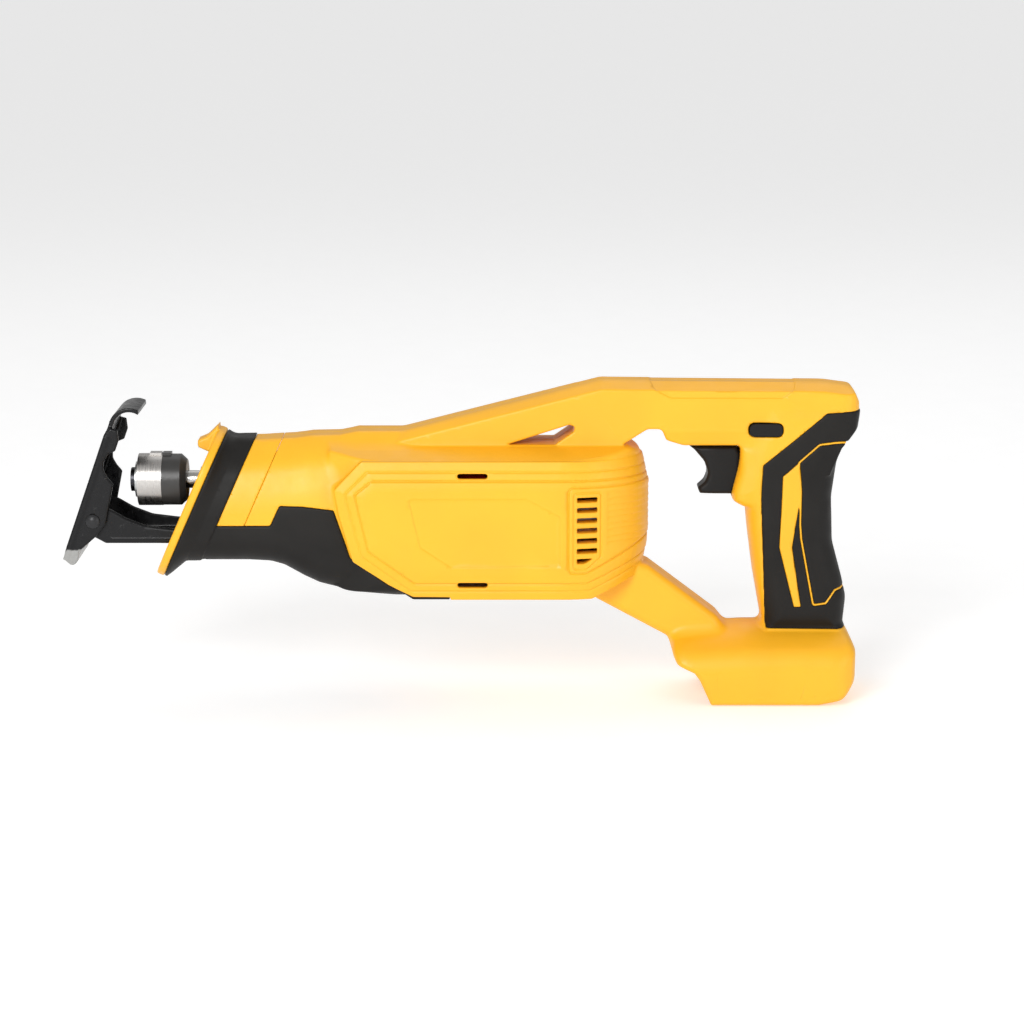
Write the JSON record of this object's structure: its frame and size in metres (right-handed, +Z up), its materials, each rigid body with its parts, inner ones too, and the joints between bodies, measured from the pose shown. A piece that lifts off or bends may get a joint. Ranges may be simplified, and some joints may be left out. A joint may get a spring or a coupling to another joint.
{
  "type": "reciprocating saw",
  "caption": "Cordless reciprocating saw body with a bridge handle, tilting shoe, twist blade clamp and an open battery foot, as separate shells, drive parts and controls.",
  "frame": {"origin": "centre of the flat rim under the battery foot", "axes": "+Z up, the blade end points to -X, the housing halves meet at Y = 0"},
  "size_m": [0.4101, 0.074, 0.1662],
  "materials": {
    "yellow_plastic": "satin moulded, fine texture",
    "black_rubber": "matt soft-touch",
    "black_plastic": "satin moulded",
    "clear_plastic": "clear, frosted",
    "circuit_board": "coated board",
    "bright_steel": "ground and brushed",
    "dark_steel": "black oxide",
    "black_metal": "satin black powder coat",
    "zinc_steel": "zinc plated",
    "alloy": "die cast",
    "copper": "enamelled winding",
    "bronze": "sintered bronze",
    "carbon": "carbon",
    "red_plastic": "satin moulded"
  },
  "bodies": {
    "housing": {"left_housing": "yellow_plastic", "right_housing": "yellow_plastic", "nose_band": "yellow_plastic", "guard_ring": "yellow_plastic", "nose_boot": "black_rubber", "left_grip": "black_rubber", "right_grip": "black_rubber", "housing_screws": "dark_steel", "battery_rails": "black_plastic", "terminal_block": "black_plastic", "terminal_blades": "bronze", "switch_module": "black_plastic", "battery_lead_red": "red_plastic", "battery_lead_black": "black_plastic", "motor_lead_red": "red_plastic", "motor_lead_black": "black_plastic", "led_lens": "clear_plastic", "led_board": "circuit_board", "motor_can": "zinc_steel", "motor_magnets": "carbon", "motor_front_plate": "zinc_steel", "motor_end_cap": "black_plastic", "motor_front_bearing": "bright_steel", "motor_rear_bearing": "bright_steel", "carbon_brushes": "carbon", "fan_baffle": "red_plastic", "gear_case": "alloy", "front_casting": "alloy", "gear_case_screws": "zinc_steel", "crank_upper_bearing": "bright_steel", "crank_lower_bearing": "bright_steel", "front_bushing": "bronze", "rear_bushing": "bronze", "plunger_seal": "black_rubber", "shoe_rivets": "dark_steel", "shoe_bracket": "black_metal", "shoe_bracket_screws": "zinc_steel"},
    "trigger": {"trigger": "black_plastic"},
    "lock_button": {"lock_button": "black_plastic"},
    "rotor": {"motor_shaft": "bright_steel", "armature_core": "dark_steel", "armature_windings": "copper", "commutator": "copper", "cooling_fan": "black_plastic", "motor_pinion": "bright_steel"},
    "crank": {"crank_gear": "bright_steel", "crank_pin": "bright_steel", "crank_roller": "bronze", "crank_axle": "bright_steel"},
    "plunger": {"plunger_rod": "bright_steel", "yoke": "dark_steel", "clamp_body": "dark_steel", "clamp_retaining_ring": "zinc_steel", "clamp_spring": "zinc_steel"},
    "clamp_ring": {"clamp_sleeve": "bright_steel", "clamp_collar": "black_plastic"},
    "lock_pin": {"clamp_lock_pin": "bright_steel"},
    "shoe": {"shoe_plate": "black_metal"}
  },
  "joints": [
    {"name": "rotor_spin", "type": "hinge", "parent": "housing", "child": "rotor", "pos_m": [-0.12, 0, 0.094], "axis": [1, 0, 0], "continuous": true},
    {"name": "crank_spin", "type": "hinge", "parent": "housing", "child": "crank", "pos_m": [-0.196, 0, 0.094], "axis": [0, 0, 1], "continuous": true},
    {"name": "plunger_slide", "type": "slide", "parent": "housing", "child": "plunger", "axis": [1, 0, 0], "range_m": [-0.011, 0.011]},
    {"name": "clamp_twist", "type": "hinge", "parent": "plunger", "child": "clamp_ring", "pos_m": [-0.32, 0, 0.113], "axis": [1, 0, 0], "range_deg": [0, 60], "stiffness_Nm_per_rad": 0.06, "springref_deg": -28.65},
    {"name": "lock_pin_slide", "type": "slide", "parent": "plunger", "child": "lock_pin", "axis": [0, 0, 1], "range_m": [0, 0.002]},
    {"name": "shoe_tilt", "type": "hinge", "parent": "housing", "child": "shoe", "pos_m": [-0.355, 0, 0.0946], "axis": [0, 1, 0], "range_deg": [-12, 12]},
    {"name": "trigger_pull", "type": "slide", "parent": "housing", "child": "trigger", "axis": [1, 0, 0], "range_m": [0, 0.007], "stiffness_N_per_m": 900, "springref_m": -0.004},
    {"name": "lock_button_push", "type": "slide", "parent": "housing", "child": "lock_button", "axis": [0, 1, 0], "range_m": [-0.003, 0.003]}
  ],
  "couplings": [
    {"joint": "crank_spin", "follows": "rotor_spin", "ratio": -0.25},
    {"joint": "lock_pin_slide", "follows": "clamp_twist", "m_per_rad": 0.0019}
  ]
}
